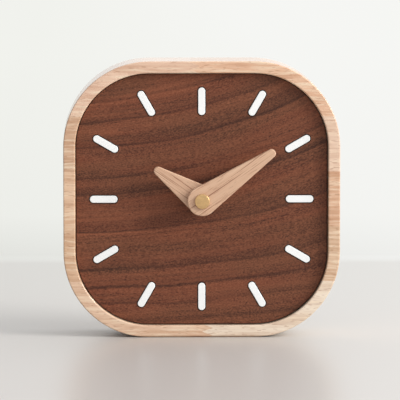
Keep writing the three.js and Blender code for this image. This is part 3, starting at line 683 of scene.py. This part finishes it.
def hand_wood(name, degrees, seed):
    """Pale wood with its grain along a hand that points in a direction, clockwise from noon."""
    material, tree, shader = new_material(name)
    along = node(tree, "Mapping", {
        "Vector": node(tree, "TexCoord").outputs["Object"],
        "Rotation": (0, math.radians(90 - degrees), 0),
    }).outputs[0]
    grain = use_group(tree, wood_grain, {
        "Vector": along,
        "Warp": 0.003,
        "Figure Size": (0.04, 0.004, 0.0028),
        "Streak Size": (0.055, 0.0006, 0.00042),
        "Fibre Size": (0.004, 0.0004, 0.0004),
        "Pore Size": (0.006, 0.0003, 0.0003),
        "Pore Share": 0.25,
        "Seed": seed,
    })
    figure = spread(tree, grain.outputs["Figure"], 0.3, 0.7)
    colour = mixed(tree, figure, tone(219, 181, 151), tone(207, 165, 135))
    light_streaks = spread(tree, grain.outputs["Streaks"], 0.48, 0.3)
    colour = mixed(tree, maths(tree, "MULTIPLY", light_streaks, 0.3), colour, tone(232, 203, 178))
    dark_streaks = spread(tree, grain.outputs["Streaks"], 0.575, 0.64)
    colour = mixed(tree, maths(tree, "MULTIPLY", dark_streaks, 0.9), colour, tone(138, 88, 63))
    finish_wood(tree, shader, grain, colour, tone(146, 92, 70), 0.6, 0.5)
    return material


def join_flat_faces(bm):
    """Joins the faces that lie in one plane."""
    bmesh.ops.dissolve_limit(bm, angle_limit=math.radians(1), verts=bm.verts, edges=bm.edges)


def edges_at(bm, forward):
    """The edges that lie at a place forward of the dial's surface."""
    return [
        edge for edge in bm.edges
        if all(abs(vert.co.z - forward) < tiny for vert in edge.verts)
    ]


def hand_blank(length, back, bore):
    """A hand pointing to noon: tapered, eased all round, and bored for its collet."""
    front = back + hand_thickness
    bm = bmesh.new()
    for radius, up in ((hub_radius, 0), (tip_radius, length - tip_radius)):
        for forward in (back, front):
            lift = Matrix.Translation((0, up, forward))
            bmesh.ops.create_circle(bm, segments=hand_steps, radius=radius, matrix=lift)
    made = bmesh.ops.convex_hull(bm, input=bm.verts)
    inner = [item for item in made["geom_interior"] if isinstance(item, bmesh.types.BMVert)]
    bmesh.ops.delete(bm, geom=inner, context="VERTS")
    join_flat_faces(bm)
    ease(bm, edges_at(bm, front) + edges_at(bm, back), hand_ease, 4)
    circles = []
    for forward in (back, front):
        flat = max(
            (face for face in bm.faces if abs(face.calc_center_median().z - forward) < tiny),
            key=lambda face: face.calc_area(),
        )
        outline = list(flat.edges)
        bmesh.ops.delete(bm, geom=[flat], context="FACES_ONLY")
        circles.append(circle_loop(bm, bore, forward, bore_steps))
        fill(bm, outline + circles[-1])
    bridge(bm, circles)
    return bm


for name, body, length, back, bore, degrees, seed in (
    ("hour_hand", "hour", 0.0289, 0.006, 0.0036, 304, 6),
    ("minute_hand", "minute", 0.0445, 0.0105, 0.0027, 55.4, 10.5),
):
    bm = hand_blank(length, back, bore)
    turn = Matrix.Rotation(-math.radians(degrees), 4, "Z")
    bmesh.ops.transform(bm, matrix=turn, verts=bm.verts)
    wood = hand_wood(f"{name}_wood", degrees, seed)
    show(f"{name}_wooden", bm, wood, body, name)


# A turned brass cap with a satin face closes the middle and holds the minute hand.
def spun(bm, profile, steps=64):
    """A turned piece: its profile holds radius and place forward of the dial's surface."""
    verts = [
        bmesh.ops.create_vert(bm, co=(radius, 0, forward))["vert"][0]
        for radius, forward in profile
    ]
    edges = [bm.edges.new(pair) for pair in zip(verts, verts[1:])]
    bmesh.ops.spin(
        bm, geom=verts + edges, cent=(0, 0, 0), axis=(0, 0, 1), angle=2 * math.pi,
        steps=steps, use_merge=True, use_duplicate=False,
    )
    bmesh.ops.remove_doubles(bm, verts=bm.verts, dist=tiny)


even_brush = (0.0006, 0.0006, 0.0006)
metal_marks, marks_in, marks_out = new_group(
    "metal_marks",
    [
        ("Vector", "Vector", (0, 0, 0)),
        ("Brush Size", "Vector", even_brush),
        ("Seed", "Float", 0),
    ],
    [("Marks", "Float"), ("Dull", "Float")],
)
vector, brush_size, seed = (marks_in.outputs[name] for name in ("Vector", "Brush Size", "Seed"))
brushed = stretched_noise(metal_marks, vector, brush_size, seed, 3)
patches = stretched_noise(metal_marks, vector, (0.002, 0.002, 0.0012), seed)
metal_marks.links.new(brushed, marks_out.inputs["Marks"])
metal_marks.links.new(spread(metal_marks, patches, 0.35, 0.65), marks_out.inputs["Dull"])


def metal(name, colour, roughness, brush_size=even_brush):
    """A plain metal with fine marks, dulled in patches."""
    material, tree, shader = new_material(name)
    marks = use_group(tree, metal_marks, {
        "Vector": node(tree, "TexCoord").outputs["Object"],
        "Brush Size": brush_size,
        "Seed": 2,
    })
    fine, dull = marks.outputs["Marks"], marks.outputs["Dull"]
    darker = tuple(0.7 * value for value in colour[:3]) + (1,)
    light = maths(tree, "MULTIPLY_ADD", fine, 0.6, maths(tree, "MULTIPLY", dull, 0.4))
    tree.links.new(mixed(tree, light, darker, colour), shader.inputs["Base Color"])
    shader.inputs["Metallic"].default_value = 1
    rough = maths(tree, "MULTIPLY_ADD", fine, 0.16, roughness - 0.14)
    tree.links.new(maths(tree, "MULTIPLY_ADD", dull, 0.12, rough), shader.inputs["Roughness"])
    raise_marks(tree, shader, fine, 0.00001, 0.5)
    return material


satin_brass = metal("satin_brass", tone(232, 192, 138), 0.36)
cap_radius = 0.00375
bm = bmesh.new()
spun(bm, [
    (0, 0.01445), (0.00165, 0.01445), (0.00165, 0.01375), (cap_radius, 0.01375),
    (cap_radius, 0.0147), (cap_radius - 0.00009, 0.01488), (cap_radius - 0.0003, 0.015),
    (0, 0.015),
])
show("cap", bm, satin_brass, "minute", "centre_cap")


# Behind the cap, brass collets grip the tube and the shaft. A washer and a hexagon nut on the
# movement's threaded bush clamp the dial. All are turned brass with their edges broken.
upright = Matrix.Identity(4)


def merged_copy(name):
    """A copy of a CAD node's mesh, with its loose triangles joined into whole faces."""
    bm = bmesh.new()
    bm.from_mesh(cad[name].data)
    bmesh.ops.remove_doubles(bm, verts=bm.verts, dist=tiny)
    join_flat_faces(bm)
    return bm


def sharp_edges(bm, degrees):
    """The edges where two faces meet at more than an angle."""
    return [edge for edge in bm.edges if edge.calc_face_angle(0) > math.radians(degrees)]


def softened(name, body, material, width, segments=2):
    """Shows a CAD node's merged copy with its sharp edges eased."""
    bm = merged_copy(name)
    ease(bm, sharp_edges(bm, 40), width, segments)
    show(f"{name}_eased", bm, material, body, name, place=upright)


def from_axis(vert):
    """A point's distance from the middle axis of the hands, and its turn round it."""
    across, up = vert.co.x, vert.co.z - middle
    return math.hypot(across, up), math.atan2(up, across) / (2 * math.pi)


for name, body, width in (
    ("hour_hand_bush", "hour", 0.00012),
    ("minute_hand_bush", "minute", 0.00012),
    ("fixing_nut", "case", 0.00025),
    ("fixing_washer", "case", 0.00012),
    ("minute_pipe", "minute", 0.00006),
):
    softened(name, body, satin_brass, width)

thread_radius = 0.004
thread_pitch = 0.00075
thread_depth = 0.0004
thread_steps = 8
thread_back = -0.0005
thread_lead = 0.0001
bm = merged_copy("threaded_bush")
bush_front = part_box("threaded_bush")[0].y
long_edges = [
    edge for edge in bm.edges
    if all(abs(from_axis(vert)[0] - thread_radius) < 1e-5 for vert in edge.verts)
    and abs(edge.verts[0].co.y - edge.verts[1].co.y) > thread_pitch
]
thread_length = long_edges[0].calc_length()
cuts = round(thread_steps * thread_length / thread_pitch)
bmesh.ops.subdivide_edges(bm, edges=long_edges, cuts=cuts, use_grid_fill=True)
# The groove runs round in a screw line, and the very front is cut down to its root
for vert in bm.verts:
    radius, turn = from_axis(vert)
    if abs(radius - thread_radius) < 1e-5 and vert.co.y < thread_back:
        groove = abs(2 * ((vert.co.y / thread_pitch + turn) % 1) - 1)
        if vert.co.y < bush_front + thread_lead:
            groove = 1
        share = 1 - groove * thread_depth / radius
        vert.co.x *= share
        vert.co.z = middle + (vert.co.z - middle) * share
show(
    "bush_with_thread", bm, satin_brass, "case", "threaded_bush",
    sharp=50, place=upright,
)


# The movement's housing is two moulded halves of black plastic, with a spark-eroded grain. The
# rear half carries a collar round the knob, a blank frame, ejector marks and the signs that
# show which way round the cell goes.
moulded_grain, moulded_in, moulded_out = new_group(
    "moulded_grain",
    [("Vector", "Vector", (0, 0, 0)), ("Grain Size", "Float", 0.0003), ("Seed", "Float", 0)],
    [("Grain", "Float"), ("Flow", "Float")],
)
vector, seed = moulded_in.outputs["Vector"], moulded_in.outputs["Seed"]
each_way = dict.fromkeys("XYZ", moulded_in.outputs["Grain Size"])
grain_sizes = node(moulded_grain, "CombineXYZ", each_way).outputs[0]
fine = stretched_noise(moulded_grain, vector, grain_sizes, seed)
flow = stretched_noise(moulded_grain, vector, (0.02, 0.02, 0.006), seed)
moulded_grain.links.new(fine, moulded_out.inputs["Grain"])
moulded_grain.links.new(spread(moulded_grain, flow, 0.35, 0.65), moulded_out.inputs["Flow"])


def moulded(name, colour, roughness, grain_size=0.0003, depth=0.00003):
    """A moulded plastic, rubber or resin, with its grain and the faint bands of its flow."""
    material, tree, shader = new_material(name)
    marks = use_group(tree, moulded_grain, {
        "Vector": node(tree, "TexCoord").outputs["Object"],
        "Grain Size": grain_size,
        "Seed": 4,
    })
    grain, flow = marks.outputs["Grain"], marks.outputs["Flow"]
    darker = tuple(0.72 * value for value in colour[:3]) + (1,)
    tone_share = maths(tree, "MULTIPLY_ADD", grain, 0.7, maths(tree, "MULTIPLY", flow, 0.3))
    tree.links.new(mixed(tree, tone_share, darker, colour), shader.inputs["Base Color"])
    rough = maths(tree, "MULTIPLY_ADD", grain, 0.18, roughness - 0.14)
    tree.links.new(maths(tree, "MULTIPLY_ADD", flow, 0.1, rough), shader.inputs["Roughness"])
    raise_marks(tree, shader, grain, depth, 0.6)
    return material


housing_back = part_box("movement_rear_shell")[1].y
mark_rise = 0.0004
ejector_rise = 0.00015
mark_root = 0.0001


def corners_behind(bm, back):
    """The sharp edges that lie behind a plane."""
    return [
        edge for edge in sharp_edges(bm, 25) if min(vert.co.y for vert in edge.verts) > back
    ]


def raised_bar(bm, across, up, width, height):
    """A raised bar on the back of the housing, with its middle at a place across and up."""
    lift = Matrix.Translation((across, housing_back + (mark_rise - mark_root) / 2, up))
    size = Matrix.Diagonal((width, mark_rise + mark_root, height, 1))
    made = bmesh.ops.create_cube(bm, size=1, matrix=lift @ size)
    ease(bm, edges_of(made["verts"]), mark_rise / 3, 2)


def raised_ring(bm, across, up, inner, outer, rise, steps):
    """A raised ring on the back of the housing, round a place across and up."""
    top = rise + mark_root
    ring = bmesh.new()
    spun(ring, [(inner, 0), (inner, top), (outer, top), (outer, 0), (inner, 0)], steps)
    lift = Matrix.Translation((across, housing_back - mark_root, up))
    turn = Matrix.Rotation(-math.pi / 2, 4, "X")
    bmesh.ops.transform(ring, matrix=lift @ turn, verts=ring.verts)
    mesh = bpy.data.meshes.new("ring")
    ring.to_mesh(mesh)
    ring.free()
    bm.from_mesh(mesh)
    bpy.data.meshes.remove(mesh)


black_plastic = moulded("black_plastic", tone(47, 47, 49), 0.5)
bm = merged_copy("movement_rear_shell")
ease(bm, corners_behind(bm, housing_back - 0.0001), 0.0004, 3)
raised_ring(bm, -0.015, middle, 0.0074, 0.0082, mark_rise, 64)
for across, up in ((-0.0225, 0.0925), (0.0225, 0.0925), (0.001, 0.0645)):
    raised_ring(bm, across, up, 0.0015, 0.0019, ejector_rise, 32)
frame_across = 0.0095
frame_up = 0.079
frame_width = 0.023
frame_height = 0.013
frame_line = 0.0007
for side in (-1, 1):
    line_up = frame_up + side * frame_height / 2
    raised_bar(bm, frame_across, line_up, frame_width + frame_line, frame_line)
    line_across = frame_across + side * frame_width / 2
    raised_bar(bm, line_across, frame_up, frame_line, frame_height - frame_line)
sign_size = 0.0036
sign_line = 0.0009
sign_up = 0.0622
plus_across = 0.0232
minus_across = -0.0235
raised_bar(bm, plus_across, sign_up, sign_size, sign_line)
raised_bar(bm, plus_across, sign_up, sign_line, sign_size)
raised_bar(bm, minus_across, sign_up, sign_size, sign_line)
show(
    "housing_rear_half", bm, black_plastic, "case", "movement_rear_shell",
    place=upright,
)
softened("movement_front_shell", "case", black_plastic, 0.0003)

# The setting knob is moulded in one with its shaft and pinion. Its flutes give grip, and its
# face is dished.
bm = merged_copy("setting_knob")
knob_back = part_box("setting_knob")[1].y
ease(bm, corners_behind(bm, housing_back), 0.00022, 3)
knob_face = max(
    (face for face in bm.faces if face.calc_center_median().y > knob_back - 0.00001),
    key=lambda face: face.calc_area(),
)
# From the rim inwards: a flat, the slope into the dish, its floor and a low boss
for thickness, depth in ((0.0009, 0), (0.0004, -0.0006), (0.0022, 0), (0.0004, 0.0004)):
    bmesh.ops.inset_region(
        bm, faces=[knob_face], thickness=thickness, depth=depth, use_even_offset=True
    )
knob_plastic = moulded("knob_plastic", tone(58, 58, 60), 0.38, 0.0002, 0.00001)
show("knob_fluted", bm, knob_plastic, "knob", "setting_knob", place=upright)

# The cell is one AA cell: a steel can in a printed film, crimped over its flat end, with a
# button at the other. It drops into the bay between two sprung strips of nickelled steel.
film_radius = 0.0062
plus_middle = 0.0212
pale_print = tone(214, 214, 209)
blue_print = tone(116, 133, 148)
dark_print = tone(60, 74, 88)
cell_low, cell_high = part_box("aa_battery")
cell_axis = (cell_low + cell_high) / 2
cell, tree, shader = new_material("cell_jacket")
coordinates = node(tree, "TexCoord").outputs["Object"]
place = node(tree, "SeparateXYZ", {0: coordinates})
deep = maths(tree, "SUBTRACT", place.outputs["Y"], cell_axis.y)
up = maths(tree, "SUBTRACT", place.outputs["Z"], cell_axis.z)
radius = maths(tree, "MULTIPLY_ADD", deep, deep, maths(tree, "MULTIPLY", up, up))
film = maths(tree, "GREATER_THAN", maths(tree, "SQRT", radius), film_radius)
marks = use_group(tree, metal_marks, {
    "Vector": coordinates,
    "Brush Size": (0.003, 0.0004, 0.0004),
    "Seed": 6,
})
film_tone = ramp(tree, spread(tree, place.outputs["X"], cell_low.x, cell_high.x), [
    (0.0, pale_print),
    (0.16, dark_print),
    (0.175, pale_print),
    (0.19, blue_print),
    (0.86, pale_print),
], "CONSTANT")
sign_across = maths(tree, "ABSOLUTE", maths(tree, "SUBTRACT", place.outputs["X"], plus_middle))
sign_height = maths(tree, "ABSOLUTE", up)
bars = [
    maths(
        tree, "MULTIPLY",
        maths(tree, "LESS_THAN", along, sign_size / 2),
        maths(tree, "LESS_THAN", aside, sign_line / 2),
    )
    for along, aside in ((sign_across, sign_height), (sign_height, sign_across))
]
film_tone = mixed(tree, maths(tree, "MAXIMUM", *bars), film_tone, dark_print)
steel_tone = mixed(tree, marks.outputs["Marks"], tone(168, 168, 166), tone(214, 213, 209))
tree.links.new(mixed(tree, film, steel_tone, film_tone), shader.inputs["Base Color"])
tree.links.new(maths(tree, "SUBTRACT", 1, film), shader.inputs["Metallic"])
rough = maths(tree, "MULTIPLY_ADD", marks.outputs["Dull"], 0.05, 0.24)
tree.links.new(rough, shader.inputs["Roughness"])
raise_marks(tree, shader, marks.outputs["Marks"], 0.000003, 0.3)

bm = bmesh.new()
spun(bm, [
    (0, -0.0249), (0.0036, -0.0249), (0.0038, -0.025), (0.0047, -0.025), (0.005, -0.0247),
    (0.0053, -0.0243), (0.0061, -0.0243), (0.0063, -0.0246), (0.0067, -0.02465),
    (0.007, -0.0244), (0.0071, -0.0241), (0.0071, 0.0234), (0.007, 0.0238), (0.0067, 0.024),
    (0.0063, 0.024), (0.0061, 0.0237), (0.0052, 0.0236), (0.0044, 0.0243), (0.0031, 0.0243),
    (0.0027, 0.0244), (0.0026, 0.0246), (0.0026, 0.0252), (0.0024, 0.0254), (0.002, 0.0255),
    (0, 0.0255),
], 72)
lie = Matrix.Translation((0, cell_axis.y, cell_axis.z)) @ Matrix.Rotation(math.pi / 2, 4, "Y")
show("cell", bm, cell, "battery", "aa_battery", place=lie)
nickel = metal("nickel", tone(205, 204, 198), 0.3, (0.0004, 0.0004, 0.006))
for side in ("negative", "positive"):
    name = f"battery_contact_{side}"
    bm = merged_copy(name)
    ease(bm, sharp_edges(bm, 15), 0.00008, 2)
    show(f"contact_strip_{side}", bm, nickel, "case", name, place=upright)

# The wheels, motor and board are closed inside the housing: natural acetal wheels, sheet iron,
# enamelled copper wire and a green board with its chip under a drop of resin.
white_plastic = moulded("white_plastic", tone(236, 234, 227), 0.45, 0.0005)
for name, body in (
    ("hour_wheel", "hour"),
    ("centre_wheel", "centre"),
    ("motion_wheel", "motion"),
    ("third_wheel", "third"),
    ("second_wheel", "second"),
    ("intermediate_wheel", "intermediate"),
    ("rotor_pinion", "rotor"),
    ("coil_bobbin", "case"),
):
    softened(name, body, white_plastic, 0.00005)
soft_iron = metal("soft_iron", tone(143, 146, 150), 0.45)
for name in ("stator_plate", "coil_core"):
    softened(name, "case", soft_iron, 0.00008)
magnet = metal("magnet", tone(90, 91, 96), 0.4)
softened("rotor_magnet", "rotor", magnet, 0.00012)
green_board = moulded("circuit_board", tone(47, 107, 69), 0.45)
softened("circuit_board", "case", green_board, 0.00006)
resin = moulded("black_resin", tone(26, 26, 28), 0.3, 0.0002)
softened("clock_chip", "case", resin, 0.00016, 4)
softened("quartz_crystal", "case", nickel, 0.0003, 4)
rubber = moulded("rubber", tone(38, 38, 39), 0.85, 0.0004)
softened("rubber_gasket", "case", rubber, 0.0001)

wire_pitch = 0.0002
wire_rise = 0.00004
wire_steps = 4
bm = merged_copy("coil_winding")
coil_low, coil_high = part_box("coil_winding")
coil_middle = (coil_low + coil_high) / 2
coil_length = coil_high.x - coil_low.x
long_edges = [
    edge for edge in bm.edges
    if abs(edge.verts[0].co.x - edge.verts[1].co.x) > 0.9 * coil_length
]
cuts = round(wire_steps * coil_length / wire_pitch)
bmesh.ops.subdivide_edges(bm, edges=long_edges, cuts=cuts, use_grid_fill=True)
# The wire lies round the coil in a screw line too, its turns side by side
for vert in bm.verts:
    offset = vert.co - coil_middle
    turn = math.atan2(offset.z, offset.y) / (2 * math.pi)
    groove = abs(2 * ((offset.x / wire_pitch + turn) % 1) - 1)
    share = 1 - groove * wire_rise / math.hypot(offset.y, offset.z)
    vert.co.y = coil_middle.y + offset.y * share
    vert.co.z = coil_middle.z + offset.z * share
copper_wire = metal("copper_wire", tone(190, 118, 66), 0.35)
show(
    "winding", bm, copper_wire, "case", "coil_winding",
    sharp=60, place=upright,
)
